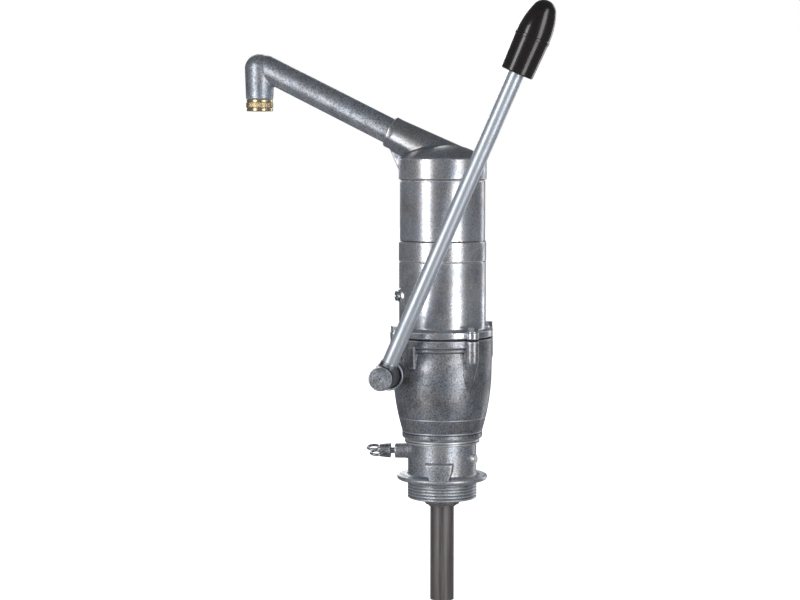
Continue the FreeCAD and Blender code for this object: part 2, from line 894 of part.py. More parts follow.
def flange_gasket():
    """Gasket between the bowl and the cylinder."""
    inset = 0.3
    plan = flange_plan(dim.flange_radius - inset, dim.lobe_radius - inset, dim.bowl_top, dim.gasket_height)
    bore = cylinder(dim.cylinder_bore + 1, dim.gasket_height + 2, z=dim.bowl_top - 1)
    holes = bolt_holes(0.3, dim.bowl_top - 1, dim.gasket_height + 2)
    return subpart(cut(plan, bore, *holes), "flange_gasket")


def flange_top():
    """Height of the cylinder's foot flange, where the washers lie."""
    return dim.bowl_top + dim.gasket_height + dim.flange_height - 1


def flange_bolts():
    """The four hexagon screws."""
    shank_length = 28
    head_height = 4.2
    head_bottom = flange_top() + dim.washer_height
    bolts = []
    for angle in BOLT_AZIMUTHS:
        head = prism(dim.bolt_flats / math.sqrt(3), head_height, *bolt_spot(angle), head_bottom)
        shank = cylinder(dim.bolt_radius, shank_length, *bolt_spot(angle), head_bottom - shank_length)
        bolts.append(fuse(head, shank))
    return subpart(group(*bolts), "flange_bolts")


def flange_washers():
    """The washer under each screw's head."""
    bottom = flange_top()
    washers = []
    for angle in BOLT_AZIMUTHS:
        outer = cylinder(dim.bolt_radius + 2.9, dim.washer_height, *bolt_spot(angle), bottom)
        inner = cylinder(dim.bolt_radius + 0.2, dim.washer_height + 2, *bolt_spot(angle), bottom - 1)
        washers.append(cut(outer, inner))
    return subpart(group(*washers), "flange_washers")


# ---------------------------------------------------------------- cylinder and upper casting


def vent_at(feature, reach):
    return radial(feature, dim.vent_azimuth.number, reach, dim.vent_height)


def lower_cylinder():
    """The pump cylinder with its bolted foot flange and the boss for the vent screw."""
    bottom = dim.bowl_top + dim.gasket_height
    height = dim.flange_height - 1
    fillet = 4.0
    plan = flange_plan(dim.flange_radius, dim.lobe_radius, bottom, height)
    barrel = turned([
        (0, bottom),
        (dim.cylinder_radius + fillet, bottom),
        (dim.cylinder_radius + fillet, bottom + height),
        (dim.cylinder_radius, bottom + height + fillet, -fillet),
        (dim.cylinder_radius - 0.1, dim.cylinder_top),
        (0, dim.cylinder_top),
    ])
    boss = vent_at(cone(10, 6.6, 4.6), dim.cylinder_radius - 2.4)
    bore = cylinder(dim.cylinder_bore, 90, z=bottom - 1)
    counterbore = cylinder(dim.cylinder_bore + dim.spigot_wall, dim.spigot_depth + 1,
                           z=dim.cylinder_top - dim.spigot_depth)
    vent_hole = vent_at(cylinder(dim.vent_shank + 0.02, 12), dim.cylinder_bore - 2)
    holes = bolt_holes(0.3, bottom - 1, height + 2)
    seats = [cylinder(dim.lobe_radius, 6, *bolt_spot(angle), bottom + height) for angle in BOLT_AZIMUTHS]
    body = cut(fuse(plan, barrel, boss), bore, counterbore, vent_hole, *holes, *seats)
    return subpart(body, "lower_cylinder")


def vent_face():
    """Distance of the vent boss's face from the pump's axis."""
    return dim.cylinder_radius + 2.2


def vent_washer():
    outer = vent_at(cylinder(dim.vent_radius, dim.vent_washer_height), vent_face())
    hole = vent_at(cylinder(dim.vent_shank + 0.2, dim.vent_washer_height + 2), vent_face() - 1)
    return subpart(cut(outer, hole), "vent_washer")


def vent_screw():
    """Slotted cheese-head screw closing the cylinder's vent."""
    head_bottom = vent_face() + dim.vent_washer_height
    head_height = 2.6
    shank_length = 6
    shank = vent_at(cylinder(dim.vent_shank, shank_length), head_bottom - shank_length)
    head = vent_at(cylinder(dim.vent_radius, head_height), head_bottom)
    half_slot = 0.65
    slot_reach = head_bottom + 1.2
    slot = group(box((-6, -(slot_reach + 2), dim.vent_height - half_slot),
                     (6, -slot_reach, dim.vent_height + half_slot)))
    slot.Placement = Placement(ORIGIN, Rotation(UP, dim.vent_azimuth.number))
    return subpart(cut(fuse(shank, head), slot), "vent_screw")


def joint_seal(inner, bottom, label):
    """The flat seal ring at the bottom of a spigot joint."""
    seal = turned(ring_outline(inner + 0.2, inner + dim.spigot_wall - 0.05, bottom, bottom + dim.seal_height))
    return subpart(seal, label)


def upper_tube():
    """Upper casting: a raised band at the foot, and the standpipe above it."""
    spigot_foot = dim.cylinder_top - dim.spigot_depth + dim.seal_height
    shoulder = dim.band_radius - dim.tube_radius
    socket = dim.tube_bore + dim.spigot_wall
    body = turned([
        (dim.tube_bore, spigot_foot),
        (dim.cylinder_bore + dim.spigot_wall - 0.05, spigot_foot),
        (dim.cylinder_bore + dim.spigot_wall - 0.05, dim.cylinder_top),
        (dim.band_radius - 0.5, dim.cylinder_top),
        (dim.band_radius, dim.cylinder_top + 0.5),
        (dim.band_radius, dim.band_top - shoulder),
        (dim.tube_radius, dim.band_top, shoulder),
        (dim.tube_radius, dim.tube_top),
        (socket, dim.tube_top),
        (socket, dim.tube_top - dim.spigot_depth),
        (dim.tube_bore, dim.tube_top - dim.spigot_depth),
    ])
    return subpart(body, "upper_tube")


# ---------------------------------------------------------------- cap, spout and outlet


def spout_way():
    slope = math.radians(dim.spout_slope.number)
    return Vector(-math.cos(slope), 0, math.sin(slope))


def along_spout(solid, reach):
    """Put a solid on the spout's axis, starting at a distance along it from the pump's axis."""
    way = spout_way()
    return place(solid, reach * way.x, 0, dim.spout_start + reach * way.z, turn_to(way))


def socket_end():
    return -dim.socket_reach / math.cos(math.radians(dim.spout_slope.number))


def gusset():
    """The triangular rib between the socket's underside and the cap's side."""
    side = -(dim.cap_radius - 1.5)
    return plate([
        (side, dim.cap_top - 12.8),
        (side, dim.cap_top + 14),
        (dim.socket_reach + 3, dim.cap_top + 20),
        (dim.socket_reach - 1.2, dim.cap_top + 12.5),
        (-(dim.cap_radius - 0.2), dim.cap_top - 13.2),
    ], 6.0)


def cap_outer():
    """The cap's band and its low domed roof."""
    sphere = (dim.cap_radius * dim.cap_radius + dim.cap_rise * dim.cap_rise) / (dim.cap_rise * 2)
    spigot = dim.tube_bore + dim.spigot_wall - 0.05
    spigot_foot = dim.tube_top - dim.spigot_depth + dim.seal_height
    return turned([
        (0, spigot_foot),
        (spigot, spigot_foot),
        (spigot, dim.tube_top),
        (dim.cap_radius - 0.4, dim.tube_top),
        (dim.cap_radius, dim.tube_top + 0.4),
        (dim.cap_radius, dim.cap_top),
        (0, dim.cap_top + dim.cap_rise, sphere),
    ])


def cap_cavity():
    inner = dim.tube_bore
    rise = dim.cap_rise - 1.5
    sphere = (inner * inner + rise * rise) / (rise * 2)
    return turned([
        (0, dim.tube_top - dim.spigot_depth),
        (inner, dim.tube_top - dim.spigot_depth),
        (inner, dim.cap_top - dim.cap_wall),
        (0, dim.cap_top - dim.cap_wall + rise, sphere),
    ])


def cap_socket():
    """The socket's cone, kept outside the cap's band."""
    cone_length = socket_end() - dim.socket_root
    socket = along_spout(cone(dim.socket_root_radius, dim.socket_radius, cone_length), dim.socket_root)
    above = 110
    left_side = box((-above, -30, dim.tube_top), (0, 30, dim.tube_top + above))
    return common(socket, fuse(cylinder(dim.cap_radius, above, z=dim.tube_top), left_side))


def cap():
    """Head casting: band, roof, the sloping socket for the spout and its gusset."""
    lip_length = 5
    lip = along_spout(cylinder(dim.socket_radius + 0.5, lip_length), socket_end() - lip_length)
    outside = fuse(cap_outer(), cap_socket(), lip, gusset())
    hole_start = socket_end() - dim.spout_depth
    spout_hole = along_spout(cylinder(dim.spout_radius + 0.03, dim.spout_depth + 10), hole_start)
    waterway = along_spout(cylinder(dim.spout_bore, socket_end() - lip_length), as_size(0))
    return subpart(cut(outside, cap_cavity(), spout_hole, waterway), "cap")


def spout():
    """Sloping spout tube with a rounded elbow, a short nozzle and a threaded end."""
    slope = math.radians(dim.spout_slope.number)
    start = socket_end() - dim.spout_depth + 0.3
    elbow_reach = (-dim.outlet_reach - 7) / math.cos(slope)
    tube = along_spout(cylinder(dim.spout_radius, elbow_reach - start), start)
    tube_bore = along_spout(cylinder(dim.spout_bore, elbow_reach - start + 4), start - 1)
    tube_end = along_spout(ball(dim.spout_radius), elbow_reach)
    elbow = ball(dim.elbow_radius, dim.outlet_reach, 0, dim.elbow_height)
    hollow = ball(dim.spout_bore, dim.outlet_reach, 0, dim.elbow_height)
    nozzle = cone(dim.nozzle_radius, dim.elbow_radius, dim.elbow_height - dim.nozzle_end,
                  dim.outlet_reach, 0, dim.nozzle_end)
    thread_foot = dim.outlet_ring_bottom + 3.8
    thread = cylinder(dim.nozzle_thread, dim.nozzle_end - thread_foot + 1, dim.outlet_reach, 0, thread_foot)
    bore_height = dim.elbow_height - thread_foot + 2
    down_bore = cylinder(dim.spout_bore, bore_height, dim.outlet_reach, 0, thread_foot - 2)
    body = cut(fuse(tube, tube_end, elbow, nozzle, thread), tube_bore, hollow, down_bore)
    return subpart(body, "spout")


OUTLET_PLACEMENT = Placement(Vector(dim.outlet_reach.number, 0, 0), Rotation())


def outlet_ring():
    """Brass ring screwed on the nozzle, with a raised grip band round its middle."""
    bottom = dim.outlet_ring_bottom
    top = dim.nozzle_end - 0.4
    plain = dim.outlet_ring_radius - 0.2
    groove = plain - 0.7
    grip_radius = dim.outlet_ring_radius + 0.2
    thread = dim.nozzle_thread + 0.03
    body = turned([
        (dim.outlet_bore, bottom),
        (plain - 0.4, bottom),
        (plain, bottom + 0.4),
        (plain, bottom + 3),
        (groove, bottom + 3.3),
        (grip_radius, bottom + 3.7),
        (grip_radius, bottom + 8.7),
        (groove, bottom + 9.1),
        (plain, bottom + 9.4),
        (plain, top),
        (thread, top),
        (thread, bottom + 2),
        (dim.outlet_bore, bottom + 2),
    ])
    return subpart(body, "outlet_ring", OUTLET_PLACEMENT)


def outlet_washer():
    bottom = dim.outlet_ring_bottom + 2.02
    body = turned(ring_outline(dim.spout_bore, dim.nozzle_thread - 0.1, bottom, bottom + 1.68))
    return subpart(body, "outlet_washer", OUTLET_PLACEMENT)


# ---------------------------------------------------------------- lever and rocker arm


LEVER_PLACEMENT = Placement(
    Vector(dim.shaft_offset.number, 0, dim.shaft_height.number),
    Rotation(BACK, dim.lever_angle.number),
)


def level(radius, front, back, x=0, z=0):
    """A cylinder parallel to the shaft between two Y positions, in the lever's own frame."""
    return cylinder(radius, as_size(back) - as_size(front), x, back, z, FRONT)


def key_slot(front, back, clearance=0.0):
    """The space of the key between shaft and hub."""
    half = 2 + clearance
    low = -(dim.shaft_radius + half)
    high = -(dim.shaft_radius - half)
    return box((-half, front, low), (half, back, high))


def lock_bore():
    """The cross hole for the lock pin, through both shaft and arm."""
    half = dim.arm_hub_radius + 8
    return cylinder(dim.lock_pin_radius + 0.02, half * 2, z=-half)


def lever_shaft():
    front = dim.boss_face - 31
    shaft = level(dim.shaft_radius, front, dim.tunnel_back - 4.5)
    keyway = key_slot(front + 3, front + 25, 0.02)
    return subpart(cut(shaft, lock_bore(), keyway), "lever_shaft", LEVER_PLACEMENT)


def lever_hub():
    """Boss of the lever: blind bored for the shaft, with a socket for the rod and a centre mark."""
    front = dim.boss_face - dim.hub_length
    back = dim.boss_face + 3.4
    boss = level(dim.hub_radius, front, back)
    collar = cone(dim.rod_radius + 2.2, dim.rod_radius + 1, 17, 0, dim.rod_plane, 0)
    shaft_front = dim.boss_face - 31
    bore = level(dim.shaft_radius + 0.02, shaft_front - 0.05, back + 1)
    rod_bore = cylinder(dim.rod_radius + 0.02, 20, 0, dim.rod_plane, dim.shaft_radius + 1)
    mark = cone(1.2, 0.1, 1.2, 0, front, 0, BACK)
    keyway = key_slot(shaft_front + 3, shaft_front + 25, 0.02)
    return subpart(cut(fuse(boss, collar), bore, rod_bore, mark, keyway), "lever_hub", LEVER_PLACEMENT)


def hub_key():
    front = dim.boss_face - 31
    return subpart(group(key_slot(front + 3.05, front + 24.95)), "hub_key", LEVER_PLACEMENT)


def lever_rod():
    start = dim.shaft_radius + 1.1
    top = dim.lever_length - 22
    rod = cylinder(dim.rod_radius, top - start, 0, dim.rod_plane, start)
    return subpart(group(rod), "lever_rod", LEVER_PLACEMENT)


def lever_grip():
    """Moulded grip: a cone opening upwards to a ridge, then a bullet-shaped top."""
    foot = dim.lever_length - dim.grip_length
    ridge = foot + dim.grip_ridge_height
    body = turned([
        (dim.rod_radius + 0.02, foot),
        (dim.grip_foot_radius - 1, foot),
        (dim.grip_foot_radius, foot + 1),
        (dim.grip_ridge_radius - 0.5, ridge - 3),
        (dim.grip_ridge_radius, ridge - 2.5),
        (dim.grip_ridge_radius, ridge),
        (dim.grip_ridge_radius - 0.6, ridge + 0.6),
        (12, dim.lever_length - 8, 75),
        (0, dim.lever_length, 13),
        (0, dim.lever_length - 21.5),
        (dim.rod_radius + 0.02, dim.lever_length - 21.5),
    ])
    place_in_lever = LEVER_PLACEMENT.multiply(Placement(Vector(0, dim.rod_plane.number, 0), Rotation()))
    return subpart(body, "lever_grip", place_in_lever)


def crank_length():
    return -dim.shaft_offset


def rocker_arm():
    """Forked arm on the shaft, its two ears either side of the crosshead."""
    hub = level(dim.arm_hub_radius, -dim.arm_half_width, dim.arm_half_width)
    ears = []
    for inner, outer in ((dim.arm_gap, dim.arm_half_width), (-dim.arm_half_width, -dim.arm_gap)):
        ears.append(box((0, inner, -dim.arm_end_radius + 1), (crank_length(), outer, dim.arm_end_radius - 1)))
        ears.append(level(dim.arm_end_radius, inner, outer, crank_length()))
    reach = dim.arm_half_width + 1
    bore = level(dim.shaft_radius + 0.02, -reach, reach)
    pin_bore = level(dim.crank_pin_radius + 0.02, -reach, reach, crank_length())
    return subpart(cut(fuse(hub, *ears), bore, pin_bore, lock_bore()), "rocker_arm", LEVER_PLACEMENT)


def arm_lock_pin():
    """Cross pin locking the arm to the shaft."""
    reach = dim.arm_hub_radius - 0.5
    pin = cylinder(dim.lock_pin_radius, reach * 2, z=-reach)
    return subpart(group(pin), "arm_lock_pin", LEVER_PLACEMENT)


def crank_pin():
    pin = level(dim.crank_pin_radius, -dim.arm_half_width, dim.arm_half_width, crank_length())
    return subpart(group(pin), "crank_pin", LEVER_PLACEMENT)


def crank_roller():
    """Roller that turns on the crank pin inside the crosshead's slot."""
    half = dim.block_half_width - 0.5
    outer = level(dim.roller_radius, -half, half, crank_length())
    inner = level(dim.crank_pin_radius + dim.running_gap, -half - 1, half + 1, crank_length())
    return subpart(cut(outer, inner), "crank_roller", LEVER_PLACEMENT)


# ---------------------------------------------------------------- piston


def crank_height():
    """Height of the crank pin in the stored pose."""
    return dim.shaft_height + dim.shaft_offset * math.sin(math.radians(dim.lever_angle.number))


def crosshead():
    """Block with a level slot for the roller, and a boss for the piston rod."""
    middle = crank_height()
    slot_half = dim.roller_radius + dim.slot_clearance
    half = slot_half + dim.block_wall
    block = box((-dim.block_half_length, -dim.block_half_width, middle - half),
                (dim.block_half_length, dim.block_half_width, middle + half))
    slot = box((-dim.slot_half_length, -dim.block_half_width - 1, middle - slot_half),
               (dim.slot_half_length, dim.block_half_width + 1, middle + slot_half))
    boss = cylinder(9.5, 12, z=middle + half - 1)
    rod_hole = cylinder(dim.piston_rod_radius + 0.02, 20, z=middle + slot_half + 1.5)
    return subpart(cut(fuse(block, boss), slot, rod_hole), "crosshead")


def piston_rod():
    """Rod with the collar that the piston sits on."""
    foot = crank_height() + dim.roller_radius + dim.slot_clearance + 1.6
    top = dim.piston_bottom + dim.piston_height + 29
    body = turned([
        (0, foot),
        (dim.piston_rod_radius, foot),
        (dim.piston_rod_radius, dim.piston_bottom - 4),
        (dim.piston_rod_radius + 4, dim.piston_bottom - 4),
        (dim.piston_rod_radius + 4, dim.piston_bottom),
        (dim.piston_rod_radius, dim.piston_bottom),
        (dim.piston_rod_radius, top - 1),
        (dim.piston_rod_radius - 1, top),
        (0, top),
    ])
    return subpart(body, "piston_rod")


def seal_grooves():
    """Bottom heights of the piston's two seal grooves."""
    return dim.piston_bottom + 3, dim.piston_bottom + 12.5


def piston():
    """Piston disc with six water ports and two seal grooves."""
    root = dim.piston_radius - dim.seal_depth
    top = dim.piston_bottom + dim.piston_height
    corners = [(dim.piston_rod_radius + 0.02, dim.piston_bottom), (dim.piston_radius, dim.piston_bottom)]
    for bottom in seal_grooves():
        corners.append((dim.piston_radius, bottom))
        corners.append((root, bottom))
        corners.append((root, bottom + dim.seal_width))
        corners.append((dim.piston_radius, bottom + dim.seal_width))
    corners.append((dim.piston_radius, top))
    corners.append((dim.piston_rod_radius + 0.02, top))
    ports = []
    for angle in range(0, 360, 60):
        way = around(angle)
        ports.append(cylinder(dim.port_radius, dim.piston_height + 2, dim.port_circle * way.x,
                              dim.port_circle * way.y, dim.piston_bottom - 1))
    return subpart(cut(turned(corners), *ports), "piston")


def piston_seals():
    """The seal ring in each groove of the piston."""
    inner = dim.piston_radius - dim.seal_depth + 0.05
    outer = dim.cylinder_bore - dim.running_gap
    for name, groove in zip(("lower_piston_seal", "upper_piston_seal"), seal_grooves()):
        seal = turned(ring_outline(inner, outer, groove + 0.05, groove + dim.seal_width - 0.05))
        subpart(seal, name)


def valve_stop():
    """Height of the stop above the piston's valve disc."""
    return dim.piston_bottom + dim.piston_height + dim.piston_valve_thickness + dim.valve_lift


def piston_valve_disc():
    """Loose disc lying on the piston's ports."""
    top = dim.piston_bottom + dim.piston_height
    inner = dim.piston_rod_radius + 2.5 + dim.running_gap
    outer = dim.port_circle + dim.port_radius + 2
    disc = turned(ring_outline(inner, outer, top, top + dim.piston_valve_thickness))
    return subpart(disc, "piston_valve_disc")


def valve_guide():
    """Flanged sleeve that guides the valve disc and stops its lift."""
    inner = dim.piston_rod_radius + 0.02
    sleeve = dim.piston_rod_radius + 2.5
    bottom = dim.piston_bottom + dim.piston_height
    body = turned([
        (inner, bottom),
        (sleeve, bottom),
        (sleeve, valve_stop()),
        (sleeve + 7, valve_stop()),
        (sleeve + 7, valve_stop() + 3),
        (inner, valve_stop() + 3),
    ])
    return subpart(body, "valve_guide")


def rod_nut():
    nut = prism(10.9, 9, z=valve_stop() + 3)
    bore = cylinder(dim.piston_rod_radius + 0.02, 12, z=valve_stop() + 2)
    return subpart(cut(nut, bore), "rod_nut")


# ---------------------------------------------------------------- build and write


def build():
    base_casting()
    suction_union()
    suction_pipe()
    suction_valve_cage()
    suction_valve_seal()
    suction_valve_disc()
    swivel_ring()
    swivel_seal()
    retaining_ring()
    drain_seal()
    drain_wing_screw()
    side_plug()
    bowl_housing()
    shaft_bearings()
    flange_gasket()
    flange_bolts()
    flange_washers()
    lower_cylinder()
    vent_washer()
    vent_screw()
    joint_seal(dim.cylinder_bore, dim.cylinder_top - dim.spigot_depth, "cylinder_seal")
    upper_tube()
    joint_seal(dim.tube_bore, dim.tube_top - dim.spigot_depth, "cap_seal")
    cap()
    spout()
    outlet_ring()
    outlet_washer()
    lever_shaft()
    lever_hub()
    hub_key()
    lever_rod()
    lever_grip()
    rocker_arm()
    arm_lock_pin()
    crank_pin()
    crank_roller()
    crosshead()
    piston_rod()
    piston()
    piston_seals()
    piston_valve_disc()
    valve_guide()
    rod_nut()


def check():
    """Stop if any object failed or any sub-part's shape is not a valid solid."""
    for item in doc.Objects:
        if {"Invalid", "Error"} & set(item.State):
            raise RuntimeError(f"{item.Name} ({item.Label}) failed: {item.State}")
    for item in subparts:
        shape = item.Shape
        if shape.isNull() or not shape.isValid() or not shape.Solids:
            raise RuntimeError(f"{item.Label} has no valid solid")


def write():
    os.makedirs("parts", exist_ok=True)
    for item in subparts:
        item.Shape.exportStep(os.path.join("parts", f"{item.Label}.step"))
        print(f"{item.Label}: {len(item.Shape.Solids)} solid(s), {item.Shape.Volume / 1000:.2f} cm3")


build()
doc.recompute()
check()
write()
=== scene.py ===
import json
import math

import bpy
from mathutils import Euler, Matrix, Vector


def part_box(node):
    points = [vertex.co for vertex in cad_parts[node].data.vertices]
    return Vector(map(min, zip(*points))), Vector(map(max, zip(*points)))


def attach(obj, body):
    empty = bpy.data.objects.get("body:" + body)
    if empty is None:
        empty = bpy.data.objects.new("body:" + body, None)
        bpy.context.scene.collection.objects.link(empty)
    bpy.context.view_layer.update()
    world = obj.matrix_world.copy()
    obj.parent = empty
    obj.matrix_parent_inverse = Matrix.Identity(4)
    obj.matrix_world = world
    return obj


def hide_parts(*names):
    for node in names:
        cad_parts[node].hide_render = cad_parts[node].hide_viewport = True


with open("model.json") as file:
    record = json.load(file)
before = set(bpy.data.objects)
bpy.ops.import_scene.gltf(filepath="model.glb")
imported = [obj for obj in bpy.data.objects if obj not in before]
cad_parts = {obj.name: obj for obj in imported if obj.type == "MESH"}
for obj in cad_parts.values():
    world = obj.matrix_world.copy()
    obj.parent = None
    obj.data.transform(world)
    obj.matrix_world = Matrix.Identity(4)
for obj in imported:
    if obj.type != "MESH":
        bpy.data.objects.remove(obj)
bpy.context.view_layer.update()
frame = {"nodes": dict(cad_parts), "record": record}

NODES = frame["nodes"]
BODIES = frame["record"]["behaviour"]["bodies"]
BODY_OF = {node: body for body, nodes in BODIES.items() for node in nodes}

MM = 0.001


# ---------------------------------------------------------------- camera, light and floor

# Angles in degrees, lengths in metres, the lens in millimetres.
CAMERA_AZIMUTH = 12.0
CAMERA_DISTANCE = 1.97
CAMERA_HEIGHT = 0.3279
CAMERA_TILT = 4.06
CAMERA_PAN = 1.29
FOCAL_LENGTH = 85.0
SENSOR_WIDTH = 36.0
FLOOR_HEIGHT = -0.129
FLOOR_REACH = 12.0
LIGHT_AIM = Vector((0, 0, 0.2))
ROOM_COLOUR = (0.82, 0.87, 0.95, 1)
ROOM_STRENGTH = 0.15
WHITE = (1, 1, 1, 1)


def around(azimuth, radius, height):
    """A point round the pump's axis: azimuth 0 is the front (-Y), positive towards +X."""
    angle = math.radians(azimuth)
    return Vector((radius * math.sin(angle), -radius * math.cos(angle), height))


def add_camera():
    """A long lens above the pump's middle, looking slightly down and past its left side."""
    data = bpy.data.cameras.new("camera")
    data.lens = FOCAL_LENGTH
    data.sensor_width = SENSOR_WIDTH
    data.clip_start = 0.05
    camera = bpy.data.objects.new("camera", data)
    camera.location = around(CAMERA_AZIMUTH, CAMERA_DISTANCE, CAMERA_HEIGHT)
    turn = (math.radians(90 - CAMERA_TILT), 0, math.radians(CAMERA_AZIMUTH + CAMERA_PAN))
    camera.rotation_euler = Euler(turn)
    bpy.context.scene.collection.objects.link(camera)
    bpy.context.scene.camera = camera


def add_softbox(name, azimuth, distance, height, width, tall, power):
    """A rectangular soft light aimed at the pump's axis."""
    data = bpy.data.lights.new(name, "AREA")
    data.shape = "RECTANGLE"
    data.size = width
    data.size_y = tall
    data.energy = power
    light = bpy.data.objects.new(name, data)
    light.location = around(azimuth, distance, height)
    aim = LIGHT_AIM - light.location
    light.rotation_euler = aim.to_track_quat("-Z", "Y").to_euler()
    bpy.context.scene.collection.objects.link(light)


def add_floor():
    """A wide pale sheet under the pump; its rim is out of every view."""
    segments = 64
    mesh = bpy.data.meshes.new("floor")
    rim = [around(360 * step / segments, FLOOR_REACH, FLOOR_HEIGHT) for step in range(segments)]
    mesh.from_pydata(rim, [], [tuple(range(segments))])
    mesh.materials.append(floor_paper())
    floor = bpy.data.objects.new("floor", mesh)
    bpy.context.scene.collection.objects.link(floor)
    floor.visible_glossy = False


def add_world():
    """White where the camera looks past the floor, dim where the metal mirrors it."""
    world = bpy.data.worlds.new("room")
    world.use_nodes = True
    tree = world.node_tree
    room = tree.nodes["Background"]
    room.inputs["Color"].default_value = ROOM_COLOUR
    room.inputs["Strength"].default_value = ROOM_STRENGTH
    white = tree.nodes.new("ShaderNodeBackground")
    white.inputs["Color"].default_value = WHITE
    seen_by = tree.nodes.new("ShaderNodeLightPath")
    mix = tree.nodes.new("ShaderNodeMixShader")
    tree.links.new(seen_by.outputs["Is Camera Ray"], mix.inputs["Fac"])
    tree.links.new(room.outputs["Background"], mix.inputs[1])
    tree.links.new(white.outputs["Background"], mix.inputs[2])
    tree.links.new(mix.outputs["Shader"], tree.nodes["World Output"].inputs["Surface"])
    bpy.context.scene.world = world


def light_the_scene():
    """Two tall softboxes in front make the bright bands on the round metal, a strip behind the
    right side makes its thin rim, and one more lights the back."""
    add_world()
    left = CAMERA_AZIMUTH - 44
    right = CAMERA_AZIMUTH + 38
    behind_right = CAMERA_AZIMUTH + 138
    back = CAMERA_AZIMUTH - 165
    add_softbox("left_softbox", left, distance=1.6, height=0.35, width=0.42, tall=1.7, power=11)
    add_softbox("right_softbox", right, distance=1.6, height=0.35, width=0.6, tall=1.7, power=10)
    add_softbox("rim_strip", behind_right, distance=1.5, height=0.35, width=0.25, tall=1.7, power=3)
    add_softbox("back_softbox", back, distance=1.7, height=0.9, width=0.9, tall=1.2, power=10)
    bpy.context.scene.view_settings.view_transform = "Standard"


# ---------------------------------------------------------------- shader helpers


class Shader:
    """A material under construction: adds nodes, links them and ends in one Principled shader."""

    def __init__(self, name):
        self.material = bpy.data.materials.new(name)
        self.material.use_nodes = True
        self.tree = self.material.node_tree
        self.principled = self.tree.nodes["Principled BSDF"]
        coordinates = self.tree.nodes.new("ShaderNodeTexCoord")
        self.place = coordinates.outputs["Object"]

    def set(self, **values):
        """Constant values on the Principled shader's own sockets."""
        for name, value in values.items():
            self.principled.inputs[name.replace("_", " ")].default_value = value

    def link(self, source, target):
        self.tree.links.new(source, target)

    def stretched(self, across, along):
        """Coordinates scaled differently across and along Z."""
        mapping = self.tree.nodes.new("ShaderNodeMapping")
        mapping.inputs["Scale"].default_value = (across, across, along)
        self.link(self.place, mapping.inputs["Vector"])
        return mapping.outputs["Vector"]

    def noise(self, scale, detail, roughness=0.55, vector=None, distortion=0.0):
        """Fractal noise; the scale is in features per metre, unless the vector is scaled itself."""
        node = self.tree.nodes.new("ShaderNodeTexNoise")
        node.inputs["Scale"].default_value = scale
        node.inputs["Detail"].default_value = detail
        node.inputs["Roughness"].default_value = roughness
        node.inputs["Distortion"].default_value = distortion
        self.link(vector or self.place, node.inputs["Vector"])
        return node.outputs["Fac"]

    def cells(self, scale):
        """Distance to the middle of the nearest cell of a random pattern."""
        node = self.tree.nodes.new("ShaderNodeTexVoronoi")
        node.inputs["Scale"].default_value = scale
        self.link(self.place, node.inputs["Vector"])
        return node.outputs["Distance"]

    def ramp(self, source, *stops):
        """A grey ramp; each stop is (position, value)."""
        return self.colours(source, *[(spot, (value, value, value)) for spot, value in stops])

    def colours(self, source, *stops):
        """A colour ramp; each stop is (position, colour)."""
        node = self.tree.nodes.new("ShaderNodeValToRGB")
        elements = node.color_ramp.elements
        while len(elements) < len(stops):
            elements.new(0.5)
        for element, (spot, colour) in zip(elements, stops):
            element.position = spot
            element.color = (*colour, 1)
        self.link(source, node.inputs["Fac"])
        return node.outputs["Color"]

    def mix(self, factor, first, second, mode="MIX"):
        """Two colours mixed; the factor is a socket or a number, each colour a socket or a tuple."""
        node = self.tree.nodes.new("ShaderNodeMix")
        node.data_type = "RGBA"
        node.blend_type = mode
        for value, socket in ((factor, node.inputs[0]), (first, node.inputs[6]), (second, node.inputs[7])):
            if isinstance(value, bpy.types.NodeSocket):
                self.link(value, socket)
            elif isinstance(value, tuple):
                socket.default_value = (*value, 1)
            else:
                socket.default_value = value
        return node.outputs[2]

    def math(self, operation, first, second=0.0):
        """Arithmetic on sockets or numbers."""
        node = self.tree.nodes.new("ShaderNodeMath")
        node.operation = operation
        for value, socket in zip((first, second), node.inputs):
            if isinstance(value, bpy.types.NodeSocket):
                self.link(value, socket)
            else:
                socket.default_value = value
        return node.outputs["Value"]

    def edges(self, low, high):
        """0 in hollows, 1 on outer edges, from the mesh's own curvature."""
        geometry = self.tree.nodes.new("ShaderNodeNewGeometry")
        return self.ramp(geometry.outputs["Pointiness"], (low, 0.0), (high, 1.0))

    def height(self):
        """The surface's own height in millimetres, at rest."""
        split = self.tree.nodes.new("ShaderNodeSeparateXYZ")
        self.link(self.place, split.inputs[0])
        return self.math("DIVIDE", split.outputs["Z"], MM)

    def step(self, height, level):
        """0 below a level in millimetres, 1 above it."""
        return self.ramp(self.math("SUBTRACT", height, level), (0.0, 0.0), (0.5, 1.0))

    def band(self, height, level, half_width):
        """1 on a thin ring at a level, fading to 0 at its half width."""
        away = self.math("ABSOLUTE", self.math("SUBTRACT", height, level))
        return self.ramp(self.math("DIVIDE", away, half_width), (0.3, 1.0), (1.0, 0.0))

    def bump(self, height, depth_mm, normal=None):
        """Adds relief of a depth in millimetres, on top of an earlier bump if one is given."""
        node = self.tree.nodes.new("ShaderNodeBump")
        node.inputs["Distance"].default_value = depth_mm * MM
        self.link(height, node.inputs["Height"])
        if normal:
            self.link(normal, node.inputs["Normal"])
        return node.outputs["Normal"]

    def finish(self, colour=None, roughness=None, normal=None):
        """Links what varies over the surface and returns the material."""
        for source, name in ((colour, "Base Color"), (roughness, "Roughness"), (normal, "Normal")):
            if source:
                self.link(source, self.principled.inputs[name])
        return self.material


# ---------------------------------------------------------------- materials

